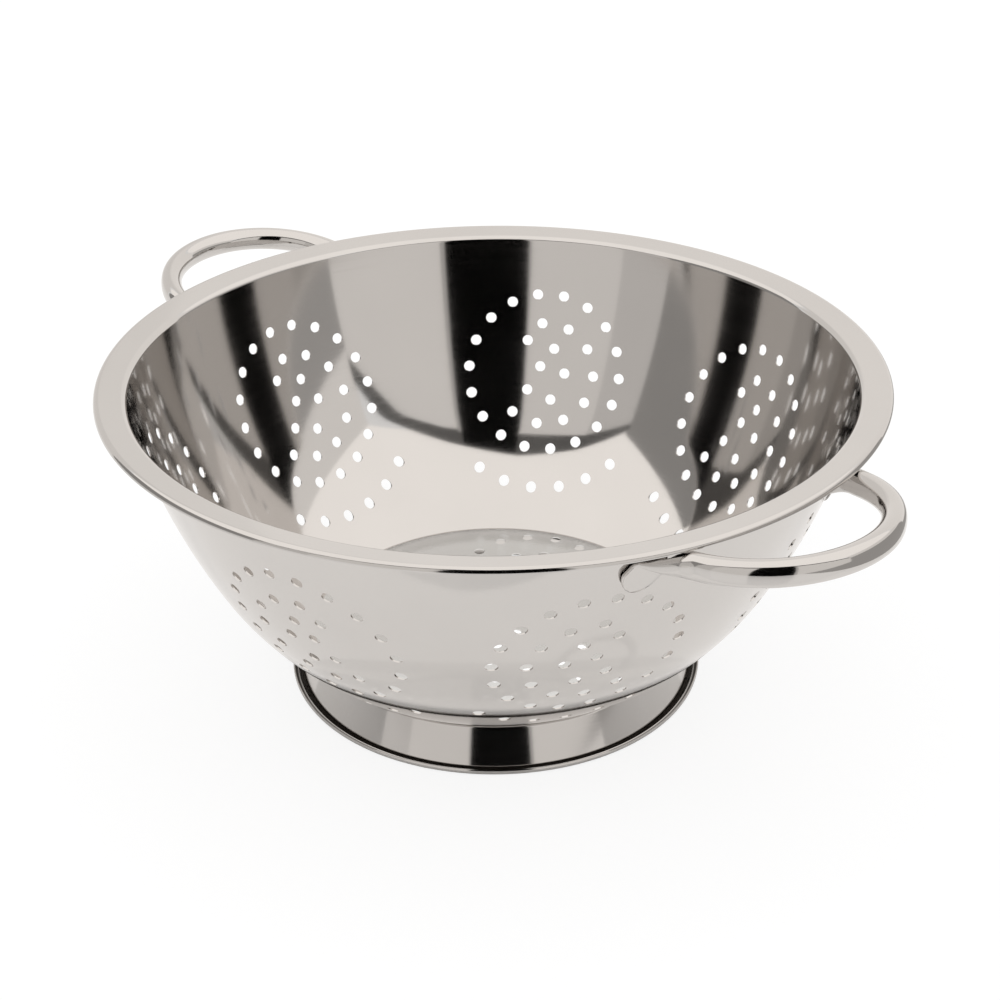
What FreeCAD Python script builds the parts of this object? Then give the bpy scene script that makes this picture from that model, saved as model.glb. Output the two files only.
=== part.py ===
"""A pressed steel colander: a perforated bowl on a foot ring, with two welded tube handles.

Millimetres, +Z up. The origin is on the table under the middle of the foot ring, and the two
handles reach out along X.
"""
import FreeCAD
import Part
import math
import os

V = FreeCAD.Vector
UP = V(0, 0, 1)
ACROSS = V(0, 1, 0)
AXIS = V(0, 0, 0)

# Bowl: a sheet drawn along its middle line, from the floor up to the rolled lip
sheet = 0.5
rim_diameter = 260.0
rim_height = 113.0
floor_height = 13.9
floor_edge_diameter = 130.0
floor_corner_radius = 8.5
wall_low_slope_deg = 33.7
wall_low_reach = 24.8
wall_high_slope_deg = 77.7
rim_width = 10.1
rim_rise = 1.6
rim_bend_radius = 2.0
rim_roll_radius = 1.4
lip_height = 1.75

# Drain holes: parallel punches go out through the wall in clusters, a little unevenly indexed
hole_diameter = 4.0
punch_axis_drop = 23.5
punch_slope_deg = 14.0
cluster_bearings_deg = (-126.3, -74.4, -26.4, 25.1, 77.3, 127.0, 182.0)
ring_radius = 29.2
ring_holes = 18
ring_start_deg = -9.2
moon_radius = 19.0
moon_drop = 1.0
moon_holes = 8
moon_start_deg = -7.0
moon_step_deg = 32.0
moon_inner_shares = ((-0.26, 0.38), (0.10, 0.29), (-0.07, 0.05), (0.26, -0.02), (-0.22, -0.26), (0.10, -0.37))
smile_radius = 42.8
smile_holes = 6
smile_start_deg = 210.4
smile_step_deg = -14.5
floor_clusters = 3
floor_cluster_offset = 35.5
floor_first_bearing_deg = 115.5
floor_ring_radius = 24.0
floor_ring_holes = 14
floor_core_radius = 12.0
floor_core_holes = 7

# Foot ring: a strip under the floor's corner, curled into a bead at the table
foot_sheet = 0.5
foot_lip_start_deg = 10.0
foot_lip_end_deg = 23.0
foot_bend_radius = 0.8
foot_bead_diameter = 141.0
foot_bead_radius = 1.2
foot_bead_turn_deg = 285.0
foot_flat_depth = 0.05

# Handles: a bent tube, pressed flat where it meets the wall and folded down as a tab
tube_diameter = 8.2
handle_reach = 27.2
handle_drop = 1.9
handle_lean_deg = 1.1
loop_radius = 36.1
leg_drop = 7.8
flat_length = 12.0
flat_stations = 7
tab_spread = 5.9
tab_drop = 10.4
tab_width = 12.8
tab_length = 10.8
tab_thickness = 1.4

# Spot welds: round nuggets that bite into both sheets
weld_bite = 0.3
handle_weld_diameter = 3.0
handle_weld_spacing = 5.0
foot_weld_diameter = 2.0
foot_welds = 12
overrun = 3.0

rim_radius = rim_diameter / 2
tube_radius = tube_diameter / 2
tab_spacing = 2 * loop_radius + tab_spread


def polar(centre, radius, angle):
    """Return the point of the half plane XZ at an angle and a distance from a centre."""
    return centre + V(radius * math.cos(angle), 0, radius * math.sin(angle))


def heading(angle):
    """Return the direction in the half plane XZ at an angle above the horizontal."""
    return polar(AXIS, 1, angle)


def line_run(start, end):
    """Return a straight run of a sheet's middle line as stations of place and direction."""
    along = (end - start).normalize()
    return "line", [(start, along), (end, along)]


def arc_run(centre, radius, start, end):
    """Return a round run of a sheet's middle line, turning from one polar angle to another."""
    turn = math.copysign(math.pi / 2, end - start)
    angles = (start, (start + end) / 2, end)
    return "arc", [(polar(centre, radius, angle), heading(angle + turn)) for angle in angles]


def tangent_arc(start, along, end):
    """Return the centre, radius and polar angles of the arc that leaves a point along a direction."""
    inward = V(-along.z, 0, along.x)
    chord = end - start
    radius = chord.dot(chord) / (2 * chord.dot(inward))
    centre = start + inward * radius
    return centre, abs(radius), *(math.atan2(p.z - centre.z, p.x - centre.x) for p in (start, end))


def face_edges(runs, offset):
    """Return the edges of one face of a sheet, to the left of its middle line by the offset."""
    edges = []
    for kind, stations in runs:
        points = [place + V(-along.z, 0, along.x) * offset for place, along in stations]
        curve = Part.LineSegment(*points) if kind == "line" else Part.Arc(*points)
        edges.append(curve.toShape())
    return edges


def ends(edges):
    """Return the first and last point of a chain of edges."""
    return edges[0].valueAt(edges[0].FirstParameter), edges[-1].valueAt(edges[-1].LastParameter)


def turned(outline):
    """Return the solid that a closed outline sweeps in one turn about the object's axis."""
    wire = Part.Wire(Part.__sortEdges__(outline))
    return Part.Face(wire).revolve(AXIS, UP, 360)


def turned_sheet(runs, thickness):
    """Return the solid of revolution of a bent sheet."""
    left = face_edges(runs, thickness / 2)
    right = face_edges(runs, -thickness / 2)
    caps = [Part.LineSegment(a, b).toShape() for a, b in zip(ends(left), ends(right))]
    return turned(left + right + caps)


# The bowl's middle line
low_slope = math.radians(wall_low_slope_deg)
high_slope = math.radians(wall_high_slope_deg)
rim_slope = math.atan2(rim_rise, rim_width)
corner_centre = V(floor_edge_diameter / 2 - floor_corner_radius * math.sin(low_slope), 0,
                  floor_height + floor_corner_radius)
wall_start = polar(corner_centre, floor_corner_radius, low_slope - math.pi / 2)
roll_centre = V(rim_radius - rim_roll_radius - sheet / 2, 0, rim_height - rim_roll_radius - sheet / 2)
flange_end = polar(roll_centre, rim_roll_radius, rim_slope + math.pi / 2)
flange_run = (flange_end.x - rim_radius + rim_width) / math.cos(rim_slope)
flange_corner = flange_end - heading(rim_slope) * flange_run
bend_setback = rim_bend_radius * math.tan((high_slope - rim_slope) / 2)
wall_end = flange_corner - heading(high_slope) * bend_setback
bend_centre = wall_end + heading(high_slope - math.pi / 2) * rim_bend_radius
low_pole = wall_start + heading(low_slope) * wall_low_reach
rest = wall_end - low_pole
closing = rest.dot(heading(high_slope)) + wall_low_reach
wall_high_reach = (rest.dot(rest) - wall_low_reach**2) / (2 * closing)
joint_along = (rest - heading(high_slope) * wall_high_reach).normalize()
wall_joint = low_pole + joint_along * wall_low_reach
wall_arcs = (tangent_arc(wall_start, heading(low_slope), wall_joint),
             tangent_arc(wall_joint, joint_along, wall_end))
floor_and_wall = [
    line_run(V(0, 0, floor_height), V(corner_centre.x, 0, floor_height)),
    arc_run(corner_centre, floor_corner_radius, -math.pi / 2, low_slope - math.pi / 2),
    *(arc_run(*arc) for arc in wall_arcs),
]


def wall_at(height):
    """Return the point and direction of the wall's middle line at a height, bent either way."""
    centre, radius, start, end = wall_arcs[0] if height < wall_joint.z else wall_arcs[1]
    angle = math.asin((height - centre.z) / radius)
    if end < start:
        angle = math.pi - angle
    return polar(centre, radius, angle), heading(angle + math.copysign(math.pi / 2, end - start))


def bowl_blank():
    """Return the pressed bowl before its holes: floor, wall, flange and rolled lip."""
    roll_end = V(roll_centre.x + rim_roll_radius, 0, roll_centre.z)
    lip_end = V(roll_end.x, 0, rim_height - lip_height)
    rim = [
        arc_run(bend_centre, rim_bend_radius, high_slope + math.pi / 2, rim_slope + math.pi / 2),
        line_run(flange_corner + heading(rim_slope) * bend_setback, flange_end),
        arc_run(roll_centre, rim_roll_radius, rim_slope + math.pi / 2, 0),
        line_run(roll_end, lip_end),
    ]
    return turned_sheet(floor_and_wall + rim, sheet)


def bowl_envelope():
    """Return everything inside the wall's outer face, to trim what is welded to it."""
    outer = face_edges(floor_and_wall, -sheet / 2)
    bottom, top = ends(outer)
    lid = V(0, 0, top.z)
    return turned(outer + [Part.LineSegment(top, lid).toShape(), Part.LineSegment(lid, bottom).toShape()])


def cluster_places():
    """Return the places of one cluster's holes: across it and up it, about its ring's middle."""
    arcs = [(0, ring_radius, ring_start_deg, 360 / ring_holes, ring_holes),
            (moon_drop, moon_radius, moon_start_deg, moon_step_deg, moon_holes),
            (0, smile_radius, smile_start_deg, smile_step_deg, smile_holes)]
    places = [(across * ring_radius, up * ring_radius) for across, up in moon_inner_shares]
    for drop, radius, start, step, count in arcs:
        for k in range(count):
            angle = math.radians(start + step * k)
            places.append((radius * math.sin(angle), radius * math.cos(angle) - drop))
    return places


def wall_punches():
    """Return the punches of every cluster in the wall."""
    slope = math.radians(punch_slope_deg)
    punches = []
    for bearing in map(math.radians, cluster_bearings_deg):
        outward = V(math.cos(bearing), math.sin(bearing), 0)
        across = V(math.sin(bearing), -math.cos(bearing), 0)
        aim = outward * math.cos(slope) - UP * math.sin(slope)
        climb = outward * math.sin(slope) + UP * math.cos(slope)
        for u, v in cluster_places():
            start = UP * (rim_height - punch_axis_drop) + across * u + climb * v + aim * wall_start.x
            punches.append(Part.makeCylinder(hole_diameter / 2, rim_radius - wall_start.x, start, aim))
    return punches


def floor_punches():
    """Return the upright punches of the round clusters in the floor."""
    rings = ((floor_ring_radius, floor_ring_holes), (floor_core_radius, floor_core_holes))
    punches = []
    for k in range(floor_clusters):
        bearing = math.radians(floor_first_bearing_deg + 360 / floor_clusters * k)
        middle = V(math.cos(bearing), math.sin(bearing), 0) * floor_cluster_offset
        places = [middle]
        for radius, count in rings:
            turns = [bearing + 2 * math.pi / count * n for n in range(count)]
            places += [middle + V(math.cos(turn), math.sin(turn), 0) * radius for turn in turns]
        for place in places:
            punches.append(Part.makeCylinder(hole_diameter / 2, floor_height + overrun, place, UP))
    return punches


def foot_ring():
    """Return the foot ring: a lip under the floor's corner, a flared wall and a flat-bottomed bead."""
    lip_start, lip_end = math.radians(foot_lip_start_deg), math.radians(foot_lip_end_deg)
    lip_radius = floor_corner_radius + (sheet + foot_sheet) / 2
    bend = polar(corner_centre, lip_radius + foot_bend_radius, lip_end - math.pi / 2)
    bead = V(foot_bead_diameter / 2, 0, foot_bead_radius + foot_sheet / 2 - foot_flat_depth)
    span = bead - bend
    normal = math.atan2(span.z, span.x) + math.acos((foot_bend_radius + foot_bead_radius) / span.Length)
    runs = [
        arc_run(corner_centre, lip_radius, lip_start - math.pi / 2, lip_end - math.pi / 2),
        arc_run(bend, foot_bend_radius, lip_end + math.pi / 2, normal),
        line_run(polar(bend, foot_bend_radius, normal), polar(bead, -foot_bead_radius, normal)),
        arc_run(bead, foot_bead_radius, normal - math.pi, normal - math.pi + math.radians(foot_bead_turn_deg)),
    ]
    table = Part.makeCylinder(foot_bead_diameter, overrun, UP * -overrun)
    return turned_sheet(runs, foot_sheet).cut(table)


def wall_frame(drop):
    """Return a place on the wall's outer face, with its outward, side and down directions."""
    place, along = wall_at(rim_height - drop)
    turn = FreeCAD.Rotation(UP, math.degrees(math.asin(tab_spacing / 2 / place.x)))
    outward = turn.multVec(V(along.z, 0, -along.x))
    root = turn.multVec(place) + outward * (sheet / 2)
    return root, outward, turn.multVec(ACROSS), turn.multVec(along) * -1


def tube_section(place, along, rise, flatness):
    """Return the tube's outline across its path: round at flatness 0, pressed flat and low at 1."""
    side = along.cross(rise)
    if flatness == 0:
        circle = Part.Circle(place, along, tube_radius)
        circle.XAxis = side
        return Part.Wire(circle.toShape())
    middle = place - rise * ((tab_drop - leg_drop) * flatness)
    half_width = tube_radius + (tab_width / 2 - tube_radius) * flatness
    half_height = tube_radius + (tab_thickness / 2 - tube_radius) * flatness
    ellipse = Part.Ellipse(middle + side * half_width, middle + rise * half_height, middle)
    return Part.Wire(ellipse.toShape())


def tab_frame(along):
    """Return the tab's root and its outward, side and down directions, askew as its leg comes in."""
    root, outward, side, down = wall_frame(tab_drop)
    askew = FreeCAD.Rotation(outward, math.degrees(math.asin(along.dot(side))))
    return root, outward, askew.multVec(side), askew.multVec(down)


def tab(along):
    """Return one folded tab: a plate with a round end, sunk a little into the wall."""
    root, outward, side, down = tab_frame(along)
    half = tab_width / 2
    start = root - outward * sheet
    top = start - down * tab_thickness
    bottom = start + down * (tab_length - half)
    end = start + down * tab_length
    outline = Part.Wire([Part.LineSegment(top + side * half, bottom + side * half).toShape(),
                         Part.Arc(bottom + side * half, end, bottom - side * half).toShape(),
                         Part.LineSegment(bottom - side * half, top - side * half).toShape(),
                         Part.LineSegment(top - side * half, top + side * half).toShape()])
    return Part.Face(outline).extrude(outward * (tab_thickness + sheet))


def handle_leg(start, foot, rise):
    """Return a straight leg from the loop to the wall, where it is pressed flat and folded down."""
    along = (foot - start).normalize()
    press = foot - along * flat_length
    sections = []
    for run in (k / (flat_stations - 1) for k in range(flat_stations)):
        flatness = run * run * (3 - 2 * run)
        sections.append(tube_section(press + along * (flat_length * run), along, rise, flatness))
    sections.append(tube_section(foot + along * overrun, along, rise, 1))
    pressed = Part.makeLoft(sections, True).fuse(tab(along)).cut(bowl_envelope())
    return pressed.fuse(Part.makeCylinder(tube_radius, (press - start).Length, start, along))


def handle_path():
    """Return a tilted loop's middle, rise and turn, and the start and foot of the leg that touches it."""
    foot = wall_frame(leg_drop)[0]
    apex = V(rim_radius + handle_reach, 0, rim_height - handle_drop)
    back = (V(foot.x, 0, foot.z) - apex).normalize()
    middle = apex + back * loop_radius
    reach = foot - middle
    meet = math.atan2(reach.y, reach.dot(back)) + math.acos(loop_radius / reach.Length)
    start = middle + (back * math.cos(meet) + ACROSS * math.sin(meet)) * loop_radius
    return middle, ACROSS.cross(back), 360 - 2 * math.degrees(meet), start, foot


def handle_blank():
    """Return a handle that reaches out along +X: a round loop with a leg at each end."""
    middle, rise, turn, start, foot = handle_path()
    section = Part.Face(Part.Wire(Part.Circle(start, foot - start, tube_radius).toShape()))
    loop = section.revolve(middle, rise * -1, turn)
    leg = handle_leg(start, foot, rise)
    return loop.fuse((leg, leg.mirror(AXIS, ACROSS)))


def handle_welds():
    """Return the weld nuggets under one handle's two tabs."""
    _, _, _, start, foot = handle_path()
    root, outward, side, down = tab_frame((foot - start).normalize())
    middle = root + down * (tab_length / 2) - outward * weld_bite
    nuggets = []
    for step in (-handle_weld_spacing / 2, handle_weld_spacing / 2):
        nugget = Part.makeCylinder(handle_weld_diameter / 2, 2 * weld_bite, middle + side * step, outward)
        nuggets += [nugget, nugget.mirror(AXIS, ACROSS)]
    return nuggets


def foot_nuggets():
    """Return the weld nuggets between the foot ring's lip and the bowl."""
    slope = math.radians((foot_lip_start_deg + foot_lip_end_deg) / 2) - math.pi / 2
    start = polar(corner_centre, floor_corner_radius + sheet / 2 - weld_bite, slope)
    nugget = Part.makeCylinder(foot_weld_diameter / 2, 2 * weld_bite, start, heading(slope))
    return [nugget.rotated(AXIS, UP, 360 / foot_welds * k) for k in range(foot_welds)]


def main():
    """Build every piece, let the welds into the sheets and write one file for each node."""
    blank = handle_blank()
    bearings = {"right_handle": -handle_lean_deg, "left_handle": 180 + handle_lean_deg}
    handle_nuggets = [n.rotated(AXIS, UP, b) for b in bearings.values() for n in handle_welds()]
    nodes = {name: blank.rotated(AXIS, UP, b).cut(handle_nuggets) for name, b in bearings.items()}
    nodes["bowl"] = bowl_blank().cut(wall_punches() + floor_punches() + handle_nuggets + foot_nuggets())
    nodes["foot_ring"] = foot_ring().cut(foot_nuggets())
    nodes["handle_spot_welds"] = Part.makeCompound(handle_nuggets)
    nodes["foot_spot_welds"] = Part.makeCompound(foot_nuggets())
    os.makedirs("parts", exist_ok=True)
    for name, shape in nodes.items():
        shape.exportStep("parts/" + name + ".step")
        box = shape.BoundBox
        print(name, len(shape.Solids), shape.isValid(), round(shape.Volume, 1),
              [round(v, 2) for v in (box.XMin, box.XMax, box.YMin, box.YMax, box.ZMin, box.ZMax)])


main()
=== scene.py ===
"""Looks of a mirror-polished steel colander that stands on a white studio floor.

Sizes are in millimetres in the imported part's frame, +Z up, and meshes are written in metres.
"""
from __future__ import annotations

import logging
import math
from collections.abc import Callable
from dataclasses import dataclass, field
from enum import Enum
from typing import Any

import bmesh
import bpy
import numpy as np
from mathutils import Matrix, Vector
from mathutils.geometry import delaunay_2d_cdt

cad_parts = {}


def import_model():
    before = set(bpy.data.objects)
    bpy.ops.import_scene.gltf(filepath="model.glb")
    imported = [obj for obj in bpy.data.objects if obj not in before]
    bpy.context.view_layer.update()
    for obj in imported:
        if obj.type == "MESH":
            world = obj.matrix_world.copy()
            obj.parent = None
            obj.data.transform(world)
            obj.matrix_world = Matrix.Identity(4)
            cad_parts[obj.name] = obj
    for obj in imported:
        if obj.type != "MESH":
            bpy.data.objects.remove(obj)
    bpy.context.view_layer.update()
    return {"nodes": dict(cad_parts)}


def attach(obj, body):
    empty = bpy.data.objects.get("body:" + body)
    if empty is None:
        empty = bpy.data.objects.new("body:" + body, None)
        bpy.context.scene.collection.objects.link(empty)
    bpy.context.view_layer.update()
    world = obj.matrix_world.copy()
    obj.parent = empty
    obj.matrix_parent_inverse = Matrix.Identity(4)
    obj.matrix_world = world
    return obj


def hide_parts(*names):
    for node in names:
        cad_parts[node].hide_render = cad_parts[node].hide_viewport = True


LOG = logging.getLogger("colander")
MM = 0.001
UP = np.array((0.0, 0.0, 1.0))
ACROSS = np.array((0.0, 1.0, 0.0))
HALF_TURN = math.pi
QUARTER = math.pi / 2
TINY = 1e-9
FILL_GAP = 1e-6
Array = np.ndarray
Colour = tuple[float, float, float]
Tile = tuple[Array, Array, Array, Array, Array]


def math_method(operation: str, reflected: bool = False) -> Callable[[Sock, Any], Sock]:
    """Make one of the operators of Sock.

    Args:
        operation: the Math node's operation.
        reflected: whether the socket comes second.

    Returns:
        A method that adds the Math node on the socket and another value.
    """
    def method(sock: Sock, other: Any) -> Sock:
        """Return the result of the operation on the socket and the other value."""
        first, second = (other, sock) if reflected else (sock, other)
        return sock.bench.add("Math", {"operation": operation}, {0: first, 1: second})

    return method


class Sock:
    """A shader socket that takes part in Python sums."""

    __add__, __radd__ = math_method("ADD"), math_method("ADD", True)
    __sub__, __rsub__ = math_method("SUBTRACT"), math_method("SUBTRACT", True)
    __mul__, __rmul__ = math_method("MULTIPLY"), math_method("MULTIPLY", True)
    __truediv__, __pow__ = math_method("DIVIDE"), math_method("POWER")

    def __init__(self, bench: NodeBench, socket: bpy.types.NodeSocket) -> None:
        """Keep the socket and the bench that new nodes go to."""
        self.bench = bench
        self.socket = socket


class NodeBench:
    """The node tree of one material or of the world, with one way to add a node."""

    def __init__(self, tree: bpy.types.NodeTree) -> None:
        """Empty the tree and keep it."""
        self.tree = tree
        tree.nodes.clear()

    def add(self, kind: str, settings: dict[str, Any] | None = None,
            inputs: dict[int | str, Any] | None = None, result: int | str = 0) -> Sock:
        """Add a node, set it and feed its sockets.

        Args:
            kind: the node's type name after ShaderNode.
            settings: attributes that are set first.
            inputs: a value or a Sock for each named or numbered input.
            result: the output to return.

        Returns:
            One of the node's outputs, or a Sock without a socket where it has none.
        """
        node = self.tree.nodes.new("ShaderNode" + kind)
        for name, value in (settings or {}).items():
            setattr(node, name, value)
        for key, value in (inputs or {}).items():
            if isinstance(value, Sock):
                self.tree.links.new(value.socket, node.inputs[key])
            else:
                node.inputs[key].default_value = value
        return Sock(self, node.outputs[result] if node.outputs else None)

    def outputs(self, kind: str, inputs: dict[int | str, Any] | None = None) -> dict[str, Sock]:
        """Add a node and return all its outputs by name."""
        node = self.add(kind, inputs=inputs).socket.node
        return {output.name: Sock(self, output) for output in node.outputs}

    def mix(self, share: Sock, first: Sock | Colour, second: Sock | Colour) -> Sock:
        """Return a blend of two colours, each of them a socket or three numbers."""
        first, second = (c if isinstance(c, Sock) else (*c, 1.0) for c in (first, second))
        return self.add("Mix", {"data_type": "RGBA"}, {0: share, 6: first, 7: second}, 2)

    def noise(self, place: Sock, scale: float, detail: float) -> Sock:
        """Return a noise of places, from 0 to 1."""
        return self.add("TexNoise", inputs={"Vector": place, "Scale": scale, "Detail": detail})

    def smooth_step(self, value: Sock, start: float, end: float) -> Sock:
        """Return 0 up to the start, 1 from the end on and a smooth step between them."""
        return self.add("MapRange", {"interpolation_type": "SMOOTHSTEP"}, {0: value, 1: start, 2: end})


def new_material(name: str) -> tuple[bpy.types.Material, NodeBench]:
    """Make a node material.

    Args:
        name: its name.

    Returns:
        The material and its empty bench.
    """
    material = bpy.data.materials.new(name)
    material.use_nodes = True
    return material, NodeBench(material.node_tree)


class Grain(Enum):
    """How the polishing lines lie: round the part's axis, or the same all ways."""

    SPUN = "spun"
    EVEN = "even"


@dataclass(frozen=True)
class SteelFinish:
    """Polished stainless steel with fine polishing lines, faint waves and stains.

    Attributes:
        name: the material's name.
        colour: the metal's colour.
        roughness: the clearest spots' roughness.
        haze: the roughness that the polishing lines add.
        grain: how the lines lie.
        lines_per_m: how close the lines are.
        line_depth: the lines' depth in metres.
        waves_per_m: how close the sheet's waves are.
        wave_depth: the waves' depth in metres.
        dull_and_shade_layer: the mesh attribute that is 1 where the steel is less polished, as on the bowl's
            floor, and where shade is painted, as in the foot's curl, if there is one.
        dull_and_shade_colour: the metal's colour there; the near-black default is painted shade.
        dull_haze: the roughness that is added there.
        stains_per_m: how close the stains are.
        stain_shade: the stains' brightness against the clear metal.
        turn_scale: how much spun lines change round the axis.
    """

    name: str
    colour: Colour
    roughness: float
    haze: float
    grain: Grain
    lines_per_m: float
    line_depth: float
    waves_per_m: float
    wave_depth: float
    dull_and_shade_layer: str = ""
    # Near black: the painted shade in the foot's curl.
    dull_and_shade_colour: Colour = (0.05, 0.045, 0.04)
    dull_haze: float = 0.4
    stains_per_m: float = 38.0
    stain_shade: float = 0.94
    turn_scale: float = 4.0

    def material(self) -> bpy.types.Material:
        """Build the node material.

        Returns:
            A metal whose roughness follows the polishing lines and whose normal follows lines and waves.
        """
        material, bench = new_material(self.name)
        place = bench.add("TexCoord", result="Object")
        lines = self._lines(bench, place)
        waves = bench.noise(place, self.waves_per_m, detail=1.0)
        stains = bench.noise(place, self.stains_per_m, detail=3.0)
        height = lines * self.line_depth + waves * self.wave_depth
        bump = bench.add("Bump", inputs={"Strength": 1.0, "Distance": 1.0, "Height": height}, result="Normal")
        tint = bench.mix(stains, tuple(self.stain_shade * part for part in self.colour), self.colour)
        roughness = self.roughness + lines * stains * self.haze
        # Where the layer is set: a lighter, rougher plain floor on the bowl, and near-black painted shade in
        # the foot's curl.
        if self.dull_and_shade_layer:
            dull_and_shade_mask = bench.add("Attribute", {"attribute_name": self.dull_and_shade_layer}, result="Fac")
            tint = bench.mix(dull_and_shade_mask, tint, self.dull_and_shade_colour)
            roughness = roughness + dull_and_shade_mask * self.dull_haze
        metal = bench.add("BsdfPrincipled", inputs={
            "Base Color": tint, "Metallic": 1.0, "Roughness": roughness, "Normal": bump})
        bench.add("OutputMaterial", inputs={"Surface": metal})
        return material

    def _lines(self, bench: NodeBench, place: Sock) -> Sock:
        """Add the polishing lines.

        A spun line is a noise of radius and height that changes slowly with the turn, whose sine and
        cosine are the last two of its four coordinates, so that it has no seam.

        Args:
            bench: where the nodes go.
            place: the object coordinates.

        Returns:
            A value from 0 to 1.
        """
        if self.grain is Grain.EVEN:
            return bench.noise(place, self.lines_per_m, detail=2.0)
        x, y, z = bench.outputs("SeparateXYZ", {0: place}).values()
        radius = (x * x + y * y + TINY) ** 0.5
        flat = bench.add("CombineXYZ", inputs={
            0: radius * self.lines_per_m, 1: z * self.lines_per_m, 2: x / radius * self.turn_scale})
        return bench.add("TexNoise", {"noise_dimensions": "4D"}, {
            "Vector": flat, "W": y / radius * self.turn_scale, "Scale": 1.0, "Detail": 2.0})


@dataclass(frozen=True)
class Line:
    """A straight run of a sheet's middle line in the half plane of radius and height."""

    start: Array
    end: Array

    @property
    def length(self) -> float:
        """The run's length."""
        return float(np.hypot(*(self.end - self.start)))

    def at(self, along: Array) -> tuple[Array, Array]:
        """Return places and headings at distances along the run."""
        heading = (self.end - self.start) / self.length
        return self.start + along[:, None] * heading, np.broadcast_to(heading, (len(along), 2))


@dataclass(frozen=True)
class Arc:
    """A round run of a sheet's middle line, from one polar angle about its centre to another."""

    centre: Array
    radius: float
    first: float
    last: float

    @property
    def length(self) -> float:
        """The run's length."""
        return self.radius * abs(self.last - self.first)

    def at(self, along: Array) -> tuple[Array, Array]:
        """Follow the arc: the centre plus the radius along a ray that turns with the distance.

        Args:
            along: distances along the run.

        Returns:
            Places and headings there.
        """
        way = math.copysign(1.0, self.last - self.first)
        angle = self.first + way * along / self.radius
        ray = ray_at(angle)
        return self.centre + self.radius * ray, way * np.stack((-ray[:, 1], ray[:, 0]), 1)


class Profile:
    """A sheet's middle line as a chain of runs, read by the distance run along it."""

    def __init__(self, runs: list[Line | Arc]) -> None:
        """Keep the runs and where each one starts."""
        self.runs = runs
        self.starts = np.concatenate(((0.0,), np.cumsum([run.length for run in runs])))

    def at(self, run: Array) -> tuple[Array, Array]:
        """Find places along the whole line.

        Args:
            run: distances run along it.

        Returns:
            Places and headings (n, 2).
        """
        place, heading = np.empty((len(run), 2)), np.empty((len(run), 2))
        which = np.clip(np.searchsorted(self.starts, run, side="right") - 1, 0, len(self.runs) - 1)
        for number, piece in enumerate(self.runs):
            here = which == number
            place[here], heading[here] = piece.at(run[here] - self.starts[number])
        return place, heading

    def rows(self, first: int, counts: tuple[int, ...]) -> Array:
        """Return rows' distances, given how many each run from the first one on has, its ends included."""
        parts = [np.linspace(*self.starts[k:k + 2], count) for k, count in enumerate(counts, first)]
        return np.concatenate([part[:-1] for part in parts[:-1]] + parts[-1:])


@dataclass
class Shell:
    """A closed triangle mesh with a normal at every face corner, in millimetres.

    Attributes:
        points: (n, 3) places.
        faces: (m, 3) point numbers, the sheet's two faces first and its cut edges last.
        normals: (m, 3, 3) corner normals.
        smooth_count: how many of the faces belong to the sheet's two faces.
    """

    points: Array
    faces: Array
    normals: Array
    smooth_count: int

    def to_object(self, name: str) -> bpy.types.Object:
        """Write the shell into a mesh object at the origin.

        Args:
            name: the object's name.

        Returns:
            The object, linked to the scene.
        """
        made = mesh_object(name, self.points, self.faces, np.arange(len(self.faces)) < self.smooth_count)
        made.data.normals_split_custom_set(self.normals.reshape(-1, 3).astype(np.float32))
        return made


@dataclass
class Chart:
    """A flat map of a turned sheet, with triangles and cut loops.

    Attributes:
        turn: (n, 3) turns in radians at the middle, the inner and the outer face.
        run: (n, 3) distances run at the same three.
        faces: (m, 3) triangles, counter-clockwise in turn and run.
        loops: closed loops of point numbers along cut edges, each with the edge's normals.
    """

    turn: Array = field(default_factory=lambda: np.zeros((0, 3)))
    run: Array = field(default_factory=lambda: np.zeros((0, 3)))
    faces: Array = field(default_factory=lambda: np.zeros((0, 3), int))
    loops: list[tuple[Array, Array]] = field(default_factory=list)

    def add(self, turn: Array, run: Array, faces: Array,
            loops: list[tuple[Array, Array]] | None = None) -> None:
        """Add a block of points.

        Args:
            turn: turns at the middle alone or at all three levels.
            run: distances run at the same.
            faces: the block's triangles.
            loops: its cut loops with their normals.
        """
        base = len(self.turn)
        turn, run = (a if a.ndim == 2 else np.repeat(a[:, None], 3, 1) for a in (turn, run))
        self.turn = np.concatenate((self.turn, turn))
        self.run = np.concatenate((self.run, run))
        self.faces = np.concatenate((self.faces, faces + base))
        self.loops += [(loop + base, normals) for loop, normals in loops or []]

    def weld(self) -> None:
        """Join the points of neighbouring blocks that lie on each other."""
        turn = np.round(np.degrees(self.turn[:, 0]) % 360.0, 3) % 360.0
        keys = np.stack((turn, np.round(self.run[:, 0], 3)), 1)
        _, first, place = np.unique(keys, axis=0, return_index=True, return_inverse=True)
        place = place.ravel()
        self.turn, self.run, self.faces = self.turn[first], self.run[first], place[self.faces]
        self.loops = [(place[loop], normals) for loop, normals in self.loops]


def grid_block(turn: Array, run: Array, closed: bool) -> tuple[Array, Array, Array]:
    """Lay a plain grid of turns and runs.

    Args:
        turn: the columns' turns.
        run: the rows' runs.
        closed: whether the last column joins the first one.

    Returns:
        The turns, the runs and the triangles, counter-clockwise in turn and run.
    """
    columns, rows = len(turn), len(run)
    number = np.arange(rows * columns).reshape(rows, columns)
    right = np.roll(number, -1, 1) if closed else number[:, 1:]
    left = number if closed else number[:, :-1]
    a, b, c, d = (g.ravel() for g in (left[:-1], right[:-1], right[1:], left[1:]))
    faces = np.concatenate((np.stack((a, b, c), 1), np.stack((a, c, d), 1)))
    return np.tile(turn, rows), np.repeat(run, columns), faces


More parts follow.
